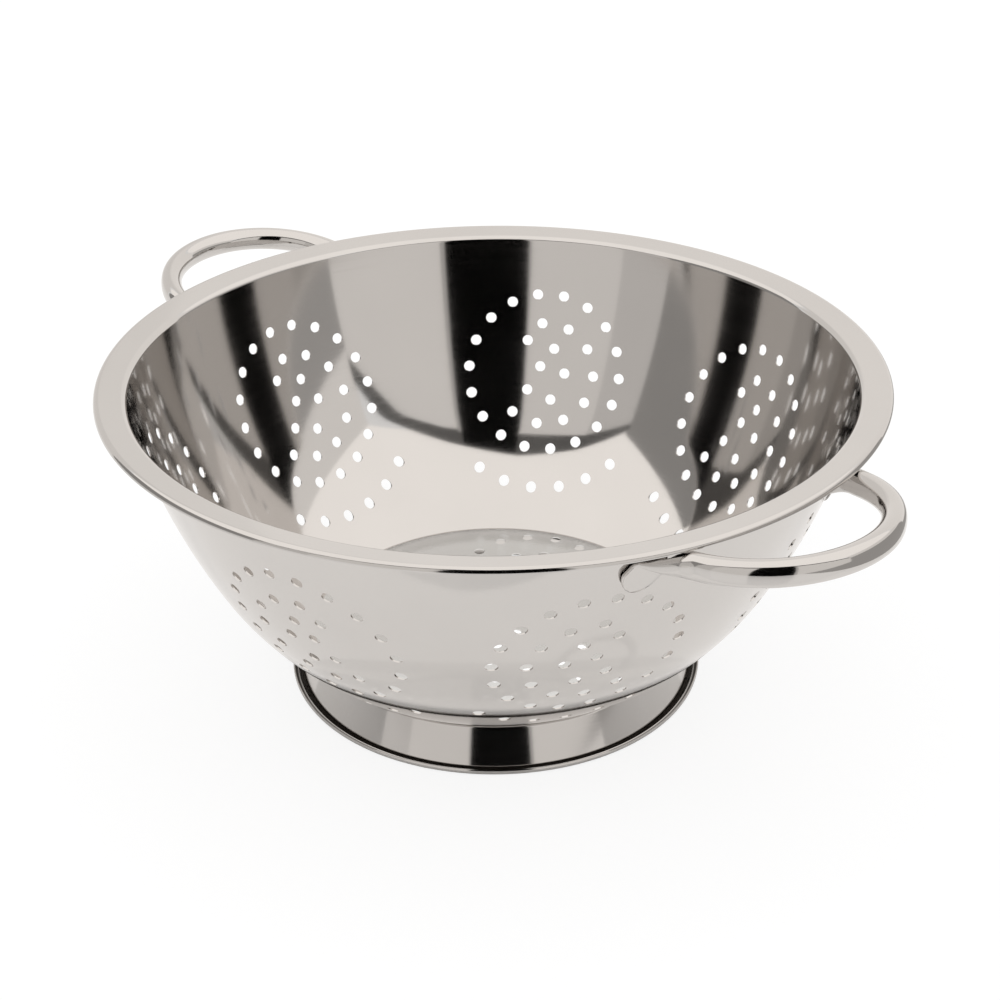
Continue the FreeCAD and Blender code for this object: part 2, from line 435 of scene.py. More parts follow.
def fill_faces(points: Array, loops: list[Array]) -> Array:
    """Triangulate flat points so that the given closed loops are edges.

    Args:
        points: (n, 2) places.
        loops: point numbers of each loop.

    Returns:
        The triangles, counter-clockwise, holes included.
    """
    edges = [(int(a), int(b)) for loop in loops for a, b in zip(loop, np.roll(loop, -1))]
    flat = [Vector(p) for p in points.tolist()]
    _, _, faces, origin, _, _ = delaunay_2d_cdt(flat, edges, [], 0, FILL_GAP, True)
    first = np.array([numbers[0] for numbers in origin])
    return first[np.array(faces)]


class TurnedSheet:
    """A bent sheet turned about the vertical axis."""

    def __init__(self, profile: Profile, thickness: float) -> None:
        """Keep the middle line and the thickness."""
        self.profile = profile
        self.thickness = thickness

    def face(self, turn: Array, run: Array, side: float) -> tuple[Array, Array]:
        """Raise one face: the middle line's place plus half the thickness along its left normal, turned.

        Args:
            turn: turns in radians.
            run: distances run along the middle line.
            side: 1 for the left face, -1 for the right one.

        Returns:
            The points and their outward normals.
        """
        place, heading = self.profile.at(run)
        normal = side * np.stack((-heading[:, 1], heading[:, 0]), 1)
        flat = place + normal * self.thickness / 2
        cos, sin = np.cos(turn), np.sin(turn)
        return (np.stack((flat[:, 0] * cos, flat[:, 0] * sin, flat[:, 1]), 1),
                np.stack((normal[:, 0] * cos, normal[:, 0] * sin, normal[:, 1]), 1))

    def end_normals(self, turn: Array, run: float, way: float) -> Array:
        """Return the normals of a cut end at a run, along the middle line (1) or back along it (-1)."""
        out, up = way * self.profile.at(np.array((run,)))[1][0]
        return np.stack((out * np.cos(turn), out * np.sin(turn), np.full(len(turn), up)), 1)

    def shell(self, chart: Chart) -> Shell:
        """Raise a chart on both faces and close its cut loops.

        Args:
            chart: the welded chart.

        Returns:
            The closed shell.
        """
        count = len(chart.turn)
        inner, inner_normals = self.face(chart.turn[:, 1], chart.run[:, 1], 1.0)
        outer, outer_normals = self.face(chart.turn[:, 2], chart.run[:, 2], -1.0)
        points = np.concatenate((inner, outer))
        flipped = chart.faces[:, ::-1]
        faces = [flipped, chart.faces + count]
        normals = [inner_normals[flipped], outer_normals[chart.faces]]
        for loop, edge in chart.loops:
            after, edge_after = np.roll(loop, -1), np.roll(edge, -1, 0)
            corners = np.stack((loop, after, after + count, loop + count), 1)
            bent = np.stack((edge, edge_after, edge_after, edge), 1)
            sides = points[corners[0]]
            if np.dot(np.cross(sides[1] - sides[0], sides[3] - sides[0]), edge[0]) < 0:
                corners, bent = corners[:, ::-1], bent[:, ::-1]
            for pick in ((0, 1, 2), (0, 2, 3)):
                faces.append(corners[:, pick])
                normals.append(bent[:, pick])
        return Shell(points, np.concatenate(faces), np.concatenate(normals), 2 * len(flipped))


def ray_at(angle: Array | float) -> Array:
    """Return the flat unit vector at an angle, or one for each of several."""
    return np.stack((np.cos(angle), np.sin(angle)), -1)


def circle(count: int) -> Array:
    """Return unit circle points (count, 2), counter-clockwise."""
    return ray_at(np.arange(count) * 2 * math.pi / count)


def unit(vector: Array) -> Array:
    """Return a vector at length 1."""
    return vector / np.linalg.norm(vector)


def smooth(share: Array) -> Array:
    """Return the smooth step 3t^2 - 2t^3 of shares from 0 to 1."""
    return share * share * (3 - 2 * share)


def spun(vector: Array, axis: Array, angle: Array | float) -> Array:
    """Turn a vector about an axis through the origin by Rodrigues' formula.

    Args:
        vector: the vector.
        axis: the axis, of length 1.
        angle: one angle or several, in radians.

    Returns:
        The turned vector, or one for each angle.
    """
    cos, sin = np.cos(np.atleast_1d(angle))[:, None], np.sin(np.atleast_1d(angle))[:, None]
    turned = vector * cos + np.cross(axis, vector) * sin + axis * np.dot(axis, vector) * (1 - cos)
    return turned if np.ndim(angle) else turned[0]


def nearest(points: Array, places: Array) -> Array:
    """Return each flat point's distance to the nearest of some places."""
    return np.hypot(*(points[:, None] - places).transpose(2, 0, 1)).min(1)


def link(name: str, data: bpy.types.ID) -> bpy.types.Object:
    """Put a mesh or a camera into the scene.

    Args:
        name: the new object's name.
        data: the mesh or the camera.

    Returns:
        The object.
    """
    made = bpy.data.objects.new(name, data)
    bpy.context.scene.collection.objects.link(made)
    return made


def mesh_object(name: str, points: Array, faces: Array, soft: Array | bool = False) -> bpy.types.Object:
    """Make an object of a mesh.

    Args:
        name: its name.
        points: (n, 3) places in millimetres.
        faces: (m, corners) point numbers.
        soft: whether all or each of the faces are shaded smooth.

    Returns:
        The object, linked to the scene.
    """
    mesh = bpy.data.meshes.new(name)
    mesh.from_pydata((points * MM).tolist(), [], faces.tolist())
    mesh.polygons.foreach_set("use_smooth", np.full(len(faces), soft))
    return link(name, mesh)


def paint_layer(piece: bpy.types.Object, name: str, inner: Array) -> None:
    """Write a mesh attribute that has values on a sheet's inner face and is 0 on its outer one."""
    layer = piece.data.attributes.new(name, "FLOAT", "POINT")
    layer.data.foreach_set("value", np.concatenate((inner, 0 * inner)).astype(np.float32))


def seat(piece: bpy.types.Object, node: str, material: bpy.types.Material) -> None:
    """Let a new piece stand for a solid, ride with the part and take its finish.

    Args:
        piece: the new piece.
        node: the solid's node.
        material: the finish.
    """
    piece.data.materials.append(material)
    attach(piece, "root")
    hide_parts(node)
    LOG.info("%s stands for %s with %d faces", piece.name, node, len(piece.data.polygons))


@dataclass
class Bowl:
    """The pressed bowl: floor, curved wall, flange, rolled lip and drain holes.

    The last six fields are worked out: the corner's centre, the wall's two arcs, where they join and the
    heading there, the middle line, and the turned sheet.
    """

    # Sheet and middle line
    sheet: float = 0.5
    rim_radius: float = 130.0
    rim_height: float = 113.0
    floor_height: float = 14.824
    floor_edge_radius: float = 65.0
    floor_corner_radius: float = 3.0
    wall_low_slope_deg: float = 33.7
    wall_low_reach: float = 24.8
    wall_high_slope_deg: float = 77.7
    rim_width: float = 10.1
    rim_rise: float = 1.6
    rim_bend_radius: float = 2.0
    rim_roll_radius: float = 1.4
    lip_height: float = 1.75
    # Holes of the wall and the floor
    hole_radius: float = 2.0
    punch_axis_drop: float = 23.5
    punch_slope_deg: float = 14.0
    cluster_bearings_deg: tuple[float, ...] = (-126.3, -74.4, -26.4, 25.1, 77.3, 127.0, 182.0)
    ring_radius: float = 29.2
    ring_holes: int = 18
    ring_start_deg: float = -9.2
    moon_radius: float = 19.0
    moon_drop: float = 1.0
    moon_holes: int = 8
    moon_start_deg: float = -7.0
    moon_step_deg: float = 32.0
    moon_inner_shares: tuple[tuple[float, float], ...] = (
        (-0.26, 0.38), (0.10, 0.29), (-0.07, 0.05), (0.26, -0.02), (-0.22, -0.26), (0.10, -0.37))
    smile_radius: float = 42.8
    smile_holes: int = 6
    smile_start_deg: float = 210.4
    smile_step_deg: float = -14.5
    floor_clusters: int = 3
    floor_cluster_offset: float = 35.5
    floor_first_bearing_deg: float = 115.5
    floor_rings: tuple[tuple[float, int], ...] = ((24.0, 14), (12.0, 7))
    # Mesh of the wall, the floor and the rim
    hole_sides: int = 24
    halvings: int = 44
    tile_half_deg: float = 21.0
    tile_columns: int = 29
    tile_rows: int = 48
    tile_stretch: float = 0.75
    tile_shift_share: float = 0.9
    wall_hole_margin: float = 0.7
    floor_hole_margin: float = 0.6
    hole_share: float = 0.97
    floor_grid_step: float = 3.4
    floor_grid_steps: int = 18
    floor_grid_shift: float = 0.3
    floor_grid_gap: float = 1.5
    floor_edge_share: float = 0.6
    flat_margin: float = 0.01
    corner_rings: int = 5
    corner_rows: int = 4
    rim_rows: tuple[int, ...] = (11, 5, 10, 3)
    # Worked out
    corner: Array = field(init=False)
    wall_arcs: tuple[Arc, Arc] = field(init=False)
    joint: Array = field(init=False)
    joint_along: Array = field(init=False)
    profile: Profile = field(init=False)
    turned: TurnedSheet = field(init=False)

    def __post_init__(self) -> None:
        """Work out the middle line's runs, as the solid's are."""
        low, high = math.radians(self.wall_low_slope_deg), math.radians(self.wall_high_slope_deg)
        tilt = math.atan2(self.rim_rise, self.rim_width)
        self.corner = np.array((self.floor_edge_radius - self.floor_corner_radius * math.sin(low),
                                self.floor_height + self.floor_corner_radius))
        wall_start = self.corner + self.floor_corner_radius * ray_at(low - QUARTER)
        inset = self.rim_roll_radius + self.sheet / 2
        roll = np.array((self.rim_radius - inset, self.rim_height - inset))
        flat = ray_at(tilt)
        flange_end = roll + self.rim_roll_radius * np.array((-flat[1], flat[0]))
        bend = flange_end - flat * (flange_end[0] - self.rim_radius + self.rim_width) / flat[0]
        setback = self.rim_bend_radius * math.tan((high - tilt) / 2)
        steep = ray_at(high)
        wall_end = bend - steep * setback
        self._wall(wall_start, ray_at(low), wall_end, steep)
        bend_centre = wall_end + self.rim_bend_radius * np.array((steep[1], -steep[0]))
        roll_end = roll + np.array((self.rim_roll_radius, 0.0))
        self.profile = Profile([
            Line(np.array((0.0, self.floor_height)), np.array((self.corner[0], self.floor_height))),
            Arc(self.corner, self.floor_corner_radius, -QUARTER, low - QUARTER),
            *self.wall_arcs,
            Arc(bend_centre, self.rim_bend_radius, high + QUARTER, tilt + QUARTER),
            Line(bend + flat * setback, flange_end),
            Arc(roll, self.rim_roll_radius, tilt + QUARTER, 0.0),
            Line(roll_end, np.array((roll_end[0], self.rim_height - self.lip_height))),
        ])
        self.turned = TurnedSheet(self.profile, self.sheet)

    def _wall(self, start: Array, low: Array, end: Array, high: Array) -> None:
        """Join two places by two arcs that touch, given the headings at both ends, and keep them.

        Args:
            start: the wall's foot.
            low: its heading there.
            end: the wall's top.
            high: its heading there.
        """
        pole = start + low * self.wall_low_reach
        rest = end - pole
        reach = (rest @ rest - self.wall_low_reach**2) / (2 * (rest @ high + self.wall_low_reach))
        self.joint_along = unit(rest - high * reach)
        self.joint = pole + self.joint_along * self.wall_low_reach
        arcs = []
        for first, heading, last in ((start, low, self.joint), (self.joint, self.joint_along, end)):
            inward = np.array((-heading[1], heading[0]))
            chord = last - first
            radius = float(chord @ chord / (2 * chord @ inward))
            centre = first + inward * radius
            angles = (math.atan2(*(p - centre)[::-1]) for p in (first, last))
            arcs.append(Arc(centre, radius, *angles))
        self.wall_arcs = tuple(arcs)

    def wall_at(self, height: float) -> tuple[Array, Array]:
        """Find the wall's middle line at a height.

        Args:
            height: the height.

        Returns:
            The place and the heading, in radius and height.
        """
        arc = self.wall_arcs[0] if height < self.joint[1] else self.wall_arcs[1]
        angle = math.asin((height - arc.centre[1]) / arc.radius)
        ray = ray_at(angle)
        return arc.centre + arc.radius * ray, np.array((-ray[1], ray[0]))

    def cluster_places(self) -> Array:
        """Place one cluster's holes on its ring, its moon and its smile.

        Returns:
            Places (holes, 2) across and up the cluster, about its ring's middle.
        """
        arcs = ((0.0, self.ring_radius, self.ring_start_deg, 360 / self.ring_holes, self.ring_holes),
                (self.moon_drop, self.moon_radius, self.moon_start_deg, self.moon_step_deg, self.moon_holes),
                (0.0, self.smile_radius, self.smile_start_deg, self.smile_step_deg, self.smile_holes))
        places = [np.array(self.moon_inner_shares) * self.ring_radius]
        for drop, radius, start, step, count in arcs:
            angle = np.radians(start + step * np.arange(count))
            places.append(np.stack((radius * np.sin(angle), radius * np.cos(angle) - drop), 1))
        return np.concatenate(places)

    def floor_places(self) -> Array:
        """Place the floor's holes on rings about each motif's middle.

        Returns:
            Places (holes, 2) in plan.
        """
        places = []
        for number in range(self.floor_clusters):
            bearing = math.radians(self.floor_first_bearing_deg + 360 / self.floor_clusters * number)
            middle = self.floor_cluster_offset * ray_at(bearing)
            places.append(middle[None])
            for radius, count in self.floor_rings:
                angle = bearing + 2 * math.pi / count * np.arange(count)
                places.append(middle + radius * ray_at(angle))
        return np.concatenate(places)

    def pierce(self, places: Array, level: float) -> tuple[Array, Array]:
        """Follow punches at bearing 0 out to one level of the wall by halving the interval.

        Args:
            places: (n, 2) across and up the cluster.
            level: distance from the wall's middle, inward.

        Returns:
            The turns and the runs where they cross it.
        """
        slope = math.radians(self.punch_slope_deg)
        across, up = places[:, 0], places[:, 1]
        near, far = np.full(len(places), self.floor_edge_radius), np.full(len(places), self.rim_radius)
        low, high = self.wall_arcs
        for _ in range(self.halvings):
            reach = (near + far) / 2
            x = up * math.sin(slope) + reach * math.cos(slope)
            z = self.rim_height - self.punch_axis_drop + up * math.cos(slope) - reach * math.sin(slope)
            flat = np.stack((np.hypot(x, across), z), 1)
            upper = (flat - self.joint) @ self.joint_along > 0
            depth = np.where(upper, high.radius - np.hypot(*(flat - high.centre).T),
                             low.radius - np.hypot(*(flat - low.centre).T))
            near, far = np.where(depth > level, reach, near), np.where(depth > level, far, reach)
        angles = [np.arctan2(*(flat - arc.centre).T[::-1]) - arc.first for arc in self.wall_arcs]
        runs = [self.profile.starts[2] + low.radius * angles[0],
                self.profile.starts[3] + high.radius * angles[1]]
        return np.arctan2(-across, x), np.where(upper, runs[1], runs[0])

    def floor_run(self, radius: Array, level: float) -> Array:
        """Return the run at a radius on the flat floor or its corner, at a level above the middle."""
        bend = np.arcsin(np.clip((radius - self.corner[0]) / (self.floor_corner_radius - level), 0.0, 1.0))
        return np.where(radius < self.corner[0], radius, self.corner[0] + self.floor_corner_radius * bend)

    def _levels(self) -> tuple[float, float, float]:
        """Return the levels of the middle, the inner and the outer face."""
        return 0.0, self.sheet / 2, -self.sheet / 2

    def _clearance(self, turn: Array, run: Array, places: Array) -> Array:
        """Measure how far wall points are from the punches, seen along them.

        Args:
            turn: the points' turns.
            run: their runs.
            places: the holes across and up the cluster.

        Returns:
            Each point's distance to the nearest punch axis.
        """
        flat, _ = self.profile.at(run)
        slope = math.radians(self.punch_slope_deg)
        rise = flat[:, 1] - self.rim_height + self.punch_axis_drop
        up = flat[:, 0] * np.cos(turn) * math.sin(slope) + rise * math.cos(slope)
        return nearest(np.stack((-flat[:, 0] * np.sin(turn), up), 1), places)

    def wall_tile(self, rows: Array) -> Tile:
        """Chart one cluster's piece of the wall at bearing 0, every second row half a step aside.

        Args:
            rows: the runs of the tile's rows.

        Returns:
            Turns and runs at three levels, triangles, hole loops (holes, sides) and one hole's normals.
        """
        half = math.radians(self.tile_half_deg)
        columns = np.linspace(-half, half, self.tile_columns)
        ring = circle(self.hole_sides)[::-1]
        places = self.cluster_places()
        edge = (places[:, None] + self.hole_radius * ring).reshape(-1, 2)
        pierced = np.array([self.pierce(edge, level) for level in self._levels()])
        turn, run = np.tile(columns, len(rows)), np.repeat(rows, self.tile_columns)
        inside = (np.abs(turn) < half - TINY) & (run > rows[0]) & (run < rows[-1])
        odd = np.repeat(np.arange(len(rows)) % 2, self.tile_columns) == 1
        shifted = inside & odd & (run > self.profile.starts[2]) & (turn < half * self.tile_shift_share)
        turn = turn + np.where(shifted, (columns[1] - columns[0]) / 2, 0.0)
        keep = ~inside | (self._clearance(turn, run, places) > self.hole_radius + self.wall_hole_margin)
        turn, run = turn[keep], run[keep]
        loops = len(turn) + np.arange(len(edge)).reshape(len(places), -1)
        turns = np.concatenate((np.repeat(turn[:, None], 3, 1), pierced[:, 0].T))
        runs = np.concatenate((np.repeat(run[:, None], 3, 1), pierced[:, 1].T))
        flat = np.stack((turns[:, 0] * self.rim_radius * self.tile_stretch, runs[:, 0]), 1)
        faces = fill_faces(flat, list(loops))
        gaps = self._clearance(turns[faces, 0].mean(1), runs[faces, 0].mean(1), places)
        slope = math.radians(self.punch_slope_deg)
        climb = np.array((math.sin(slope), 0.0, math.cos(slope)))
        normals = ring[:, :1] * ACROSS - ring[:, 1:] * climb
        return turns, runs, faces[gaps > self.hole_radius * self.hole_share], loops, normals

    def floor_tile(self, columns: Array, edge_run: float) -> Tile:
        """Chart the floor and the start of its corner in plan.

        Args:
            columns: the turns of the outermost ring.
            edge_run: the run of that ring.

        Returns:
            Turns and runs at three levels, triangles, hole loops (holes, sides) and one hole's normals.
        """
        shares = np.linspace(1.0, 0.0, self.corner_rings)
        bends = (edge_run - self.corner[0]) / self.floor_corner_radius * shares
        radii = self.corner[0] + self.floor_corner_radius * np.sin(bends)
        rings = np.concatenate([r * ray_at(columns) for r in radii])
        steps = np.arange(-self.floor_grid_steps, self.floor_grid_steps + 1) * self.floor_grid_step
        grid = np.stack(np.meshgrid(steps, steps), -1)
        grid[1::2, :, 0] += self.floor_grid_step / 2
        grid = grid.reshape(-1, 2) + self.floor_grid_shift
        grid = grid[np.hypot(*grid.T) < self.corner[0] - self.floor_grid_gap]
        places = self.floor_places()
        points = np.concatenate((rings, grid))
        gaps = nearest(points, places)
        gaps[:len(columns)] = np.inf
        points = points[gaps > self.hole_radius + self.floor_hole_margin]
        ring = circle(self.hole_sides)
        edge = (places[:, None] + self.hole_radius * ring).reshape(-1, 2)
        loops = len(points) + np.arange(len(edge)).reshape(len(places), -1)
        points = np.concatenate((points, edge))
        faces = fill_faces(points, [np.arange(len(columns)), *loops])
        gaps = nearest(points[faces].mean(1), places)
        faces = faces[gaps > self.hole_radius * self.hole_share][:, ::-1]
        radius = np.hypot(*points.T)
        turns = np.repeat(np.arctan2(points[:, 1], points[:, 0])[:, None], 3, 1)
        runs = np.stack([self.floor_run(radius, level) for level in self._levels()], 1)
        runs[:len(columns)] = edge_run
        return turns, runs, faces, loops, np.concatenate((-ring, np.zeros((len(ring), 1))), 1)

    def chart(self) -> Chart:
        """Lay out the whole bowl: floor, a tile for each cluster, strips between them, and the rim.

        Returns:
            The welded chart.
        """
        starts = self.profile.starts
        edge_run = starts[1] + self.floor_edge_share * (starts[2] - starts[1])
        rows = np.concatenate((np.linspace(edge_run, starts[2], self.corner_rows)[:-1],
                               np.linspace(starts[2], starts[4], self.tile_rows)))
        turns, runs, faces, loops, normals = self.wall_tile(rows)
        half = math.radians(self.tile_half_deg)
        step = 2 * half / (self.tile_columns - 1)
        bearings = np.sort(np.radians(self.cluster_bearings_deg) % (2 * math.pi))
        chart, columns = Chart(), []
        for bearing, after in zip(bearings, np.append(bearings[1:], bearings[0] + 2 * math.pi)):
            turned = np.stack([spun(n, UP, bearing) for n in normals])
            chart.add(turns + bearing, runs, faces, [(loop, turned) for loop in loops])
            gap = after - bearing - 2 * half
            strip = np.linspace(bearing + half, after - half, max(2, round(gap / step)) + 1)
            chart.add(*grid_block(strip, rows, False))
            columns += [np.linspace(bearing - half, bearing + half, self.tile_columns)[:-1], strip[:-1]]
        columns = np.concatenate(columns)
        turns, runs, faces, loops, normals = self.floor_tile(columns, edge_run)
        chart.add(turns, runs, faces, [(loop, normals) for loop in loops])
        rim = self.profile.rows(4, self.rim_rows)
        last = (len(rim) - 1) * len(columns) + np.arange(len(columns))
        end = self.turned.end_normals(columns, starts[8], 1.0)
        chart.add(*grid_block(columns, rim, True), [(last, end)])
        chart.weld()
        return chart

    def build(self, finish: SteelFinish) -> None:
        """Build the bowl and dress it, its flat floor less polished.

        Args:
            finish: the bowl's steel.
        """
        chart = self.chart()
        piece = self.turned.shell(chart).to_object("pressed_bowl")
        paint_layer(piece, finish.dull_and_shade_layer, 1.0 * (chart.run[:, 1] < self.corner[0] + self.flat_margin))
        seat(piece, "bowl", finish.material())


@dataclass
class FootRing:
    """The rolled foot ring: a lip under the bowl's corner, a flared wall and an open curl, with painted shade
    inside the curl.
    """

    sheet: float = 0.5
    lip_centre: tuple[float, float] = (60.284, 22.4)
    lip_radius: float = 9.0
    lip_start_deg: float = 10.0
    lip_end_deg: float = 23.0
    bend_radius: float = 0.8
    bead_circle_radius: float = 70.5
    bead_radius: float = 1.2
    bead_turn_deg: float = 192.0
    # Turns of the curl, in degrees, over which its painted shade grows from none to full.
    shade_turns_deg: tuple[float, float] = (25.0, 80.0)
    flat_depth: float = 0.05
    columns: int = 420
    rows: tuple[int, ...] = (5, 9, 9, 25)

    def profile(self) -> Profile:
        """Work out the ring's middle line.

        Returns:
            Lip, bend, wall that touches bend and curl, and the curl.
        """
        lip_start, lip_end = math.radians(self.lip_start_deg), math.radians(self.lip_end_deg)
        centre = np.array(self.lip_centre)
        bend = centre + (self.lip_radius + self.bend_radius) * ray_at(lip_end - QUARTER)
        bead = np.array((self.bead_circle_radius, self.bead_radius + self.sheet / 2 - self.flat_depth))
        span = bead - bend
        turn = math.acos((self.bend_radius + self.bead_radius) / np.hypot(*span))
        normal = math.atan2(span[1], span[0]) + turn
        side = ray_at(normal)
        last = normal - HALF_TURN + math.radians(self.bead_turn_deg)
        return Profile([
            Arc(centre, self.lip_radius, lip_start - QUARTER, lip_end - QUARTER),
            Arc(bend, self.bend_radius, lip_end + QUARTER, normal),
            Line(bend + self.bend_radius * side, bead - self.bead_radius * side),
            Arc(bead, self.bead_radius, normal - HALF_TURN, last),
        ])

    def build(self, finish: SteelFinish) -> None:
        """Build the ring and dress it.

        Args:
            finish: the ring's steel.
        """
        profile = self.profile()
        turned = TurnedSheet(profile, self.sheet)
        rows = profile.rows(0, self.rows)
        turn = np.arange(self.columns) * 2 * math.pi / self.columns
        first = np.arange(self.columns)
        last = (len(rows) - 1) * self.columns + first
        chart = Chart()
        chart.add(*grid_block(turn, rows, True), [(first, turned.end_normals(turn, rows[0], -1.0)),
                                                  (last, turned.end_normals(turn, rows[-1], 1.0))])
        shell = turned.shell(chart)
        shell.points[:, 2] = np.maximum(shell.points[:, 2], 0.0)
        piece = shell.to_object("rolled_foot_ring")
        # Painted shade: the curl's inside darkens to near black from the first of these turns to the second
        # and beyond.
        turned_deg = np.degrees((chart.run[:, 1] - profile.starts[3]) / self.bead_radius)
        painted_shade_share = np.clip((turned_deg - self.shade_turns_deg[0]) / np.ptp(self.shade_turns_deg), 0.0, 1.0)
        paint_layer(piece, finish.dull_and_shade_layer, painted_shade_share)
        seat(piece, "foot_ring", finish.material())


class Side(Enum):
    """The two handles: the name of the solid that each stands for."""

    RIGHT = "right_handle"
    LEFT = "left_handle"


@dataclass
class Handle:
    """A bent tube whose two ends are pressed flat and folded down the wall as tabs."""

    bowl: Bowl
    side: Side
    tube_radius: float = 4.1
    reach: float = 27.2
    drop: float = 1.9
    lean_deg: float = 1.1
    loop_radius: float = 36.1
    leg_drop: float = 7.8
    flat_length: float = 12.0
    tab_spread: float = 4.0
    tab_drop: float = 10.4
    tab_width: float = 11.8
    tab_length: float = 10.8
    tab_thickness: float = 1.7
    edge_share: float = 0.6
    edge_power: int = 20
    pinch_share: float = 0.75
    bend_flat_share: float = 0.18
    fold: float = 1.7
    slant_lead: float = 1.0
    twist_deg: float = -22.0
    sunk: float = 0.03
    join_gap: float = 0.02
    sides: int = 96
    loop_stations: int = 60
    leg_stations: int = 8
    flat_stations: int = 26
    fold_stations: int = 14
    tab_stations: tuple[int, int] = (6, 18)

    def wall_frame(self, drop: float) -> tuple[Array, Array]:
        """Find where a leg or a tab meets the wall's outer face.

        Args:
            drop: how far below the rim.

        Returns:
            The place and its outward direction.
        """
        place, heading = self.bowl.wall_at(self.bowl.rim_height - drop)
        bearing = math.asin((self.loop_radius + self.tab_spread / 2) / place[0])
        outward = spun(np.array((heading[1], 0.0, -heading[0])), UP, bearing)
        root = spun(np.array((place[0], 0.0, place[1])), UP, bearing) + outward * self.bowl.sheet / 2
        return root, outward

    def half_path(self) -> dict[str, Array]:
        """Follow the tube from the loop's apex to the end of one tab.

        The loop is an arc in a tilted plane, the leg is its tangent to the wall, the pressed stretch
        sinks to the fold by a smooth step, the fold is a quadratic curve turned about the wall's
        tangent, and the tab's half width falls along a circle at its end. The sections slant until
        they lie along the fold, because the leg meets the wall askew.

        Returns:
            Places, side and rise directions, half widths and heights and the outer side's flattening.
        """
        foot = self.wall_frame(self.leg_drop)[0]
        apex = np.array((self.bowl.rim_radius + self.reach, 0.0, self.bowl.rim_height - self.drop))
        back = unit(np.array((foot[0], 0.0, foot[2])) - apex)
        middle = apex + back * self.loop_radius
        span = foot - middle
        meet = math.atan2(span[1], span @ back) + math.acos(self.loop_radius / np.linalg.norm(span))
        rise = np.cross(ACROSS, back)
        angle = np.linspace(HALF_TURN, meet, self.loop_stations)[:, None]
        loop = middle + self.loop_radius * (back * np.cos(angle) + ACROSS * np.sin(angle))
        ahead = back * np.sin(angle) - ACROSS * np.cos(angle)
        along = unit(foot - loop[-1])
        leg = np.linalg.norm(foot - loop[-1])
        root, outward = self.wall_frame(self.tab_drop)
        corner = root + outward * (self.tab_thickness / 2 - self.sunk)
        left = np.concatenate((np.linspace(leg, self.flat_length, self.leg_stations)[1:-1],
                               np.linspace(self.flat_length, self.fold, self.flat_stations)))
        flat = smooth(np.clip(1 - left / self.flat_length, 0.0, 1.0))
        straight = foot - along * left[:, None] + (corner - foot) * flat[:, None]
        twist = math.radians(self.twist_deg)
        hinge = unit(np.cross(spun(rise, along, twist), outward))
        askew = along @ hinge
        lower = np.cross(outward, hinge)
        lower = lower if lower[2] < 0 else -lower
        paddle = hinge * askew + lower * math.sqrt(1 - askew**2)
        inward = along - hinge * askew
        whole = math.atan2(np.dot(np.cross(inward, lower), hinge), inward @ lower)
        t = np.linspace(0.0, 1.0, self.fold_stations)[1:]
        start, end = straight[-1], corner + paddle * self.fold
        folded = (start * (1 - t[:, None])**2 + corner * (2 * t * (1 - t))[:, None]
                  + end * (t**2)[:, None])
        half = self.tab_width / 2
        tip = half * np.sin(np.linspace(0, QUARTER, self.tab_stations[1])[1:])
        down_tab = np.concatenate((
            np.linspace(self.fold, self.tab_length - half, self.tab_stations[0])[1:],
            self.tab_length - half + tip))
        tab = corner + paddle * down_tab[:, None]
        early = (self.flat_length - left) / (self.flat_length - self.fold - self.slant_lead)
        late = (down_tab - self.fold) / (self.tab_length - self.fold)
        slant = np.concatenate((np.clip(early, 0.0, 1.0), np.ones(len(t)), 1 - late))
        level = spun(np.cross(along, rise), along, twist * flat)
        above = spun(rise, along, twist * flat)
        turn = np.concatenate((whole * t, np.full(len(tab), whole)))
        side = np.concatenate((level, spun(level[-1], hinge, turn)))
        ahead_side = np.concatenate((np.repeat(along[None], len(left), 0), spun(along, hinge, turn)))
        side = side + smooth(slant)[:, None] * askew / (level[-1] @ hinge) * ahead_side
        flat = np.concatenate((np.zeros(len(loop)), flat, np.ones(len(t) + len(tab))))
        width = self.tube_radius + (half - self.tube_radius) * flat
        past = np.clip((down_tab - self.tab_length + half) / half, 0.0, 1.0)
        width[-len(tab):] = half * np.sqrt(np.clip(1 - past**2, 0.0, 1.0))
        easing = np.linspace(1.0, 0.0, self.leg_stations)[1:-1]
        flattening = np.zeros(len(width))
        flattening[:len(loop)] = self.bend_flat_share
        flattening[len(loop):len(loop) + len(easing)] = self.bend_flat_share * easing
        rises = np.concatenate((np.repeat(rise[None], len(loop), 0), above, spun(above[-1], hinge, turn)))
        return {"place": np.concatenate((loop, straight, folded, tab)),
                "side": np.concatenate((np.cross(ahead, rise), side)),
                "rise": rises,
                "width": width,
                "height": self.tube_radius + (self.tab_thickness / 2 - self.tube_radius) * flat,
                "flattening": flattening}

    def sections(self) -> Array:
        """Carry the outline along the path: a circle, or a pinched flat with thick round edges.

        The outline is a circle cut in two and drawn apart, thinner between its halves. In the bend its
        outer side is flattened: the cube of the cosine, times the flattening, comes off.

        Returns:
            The outlines' points (stations, sides, 3).
        """
        path = self.half_path()
        angle = (np.arange(self.sides) + 0.5) * 2 * math.pi / self.sides
        width, height = path["width"][:, None], path["height"][:, None]
        round_part = np.minimum(width, height)
        outer = np.clip(np.cos(angle) / self.edge_share, -1.0, 1.0)
        across = round_part * np.cos(angle) + (width - round_part) * outer
        across = across - path["flattening"][:, None] * round_part * np.clip(np.cos(angle), 0.0, 1.0)**3
        pressed = (1 - round_part / np.maximum(width, height)) * self.pinch_share
        above = height * np.sin(angle) * (1 - pressed * (1 - outer**self.edge_power))
        half = (path["place"][:, None] + across[..., None] * path["side"][:, None]
                + above[..., None] * path["rise"][:, None])
        other = half[:0:-1] * np.array((1.0, -1.0, 1.0))
        return np.concatenate((other, half))

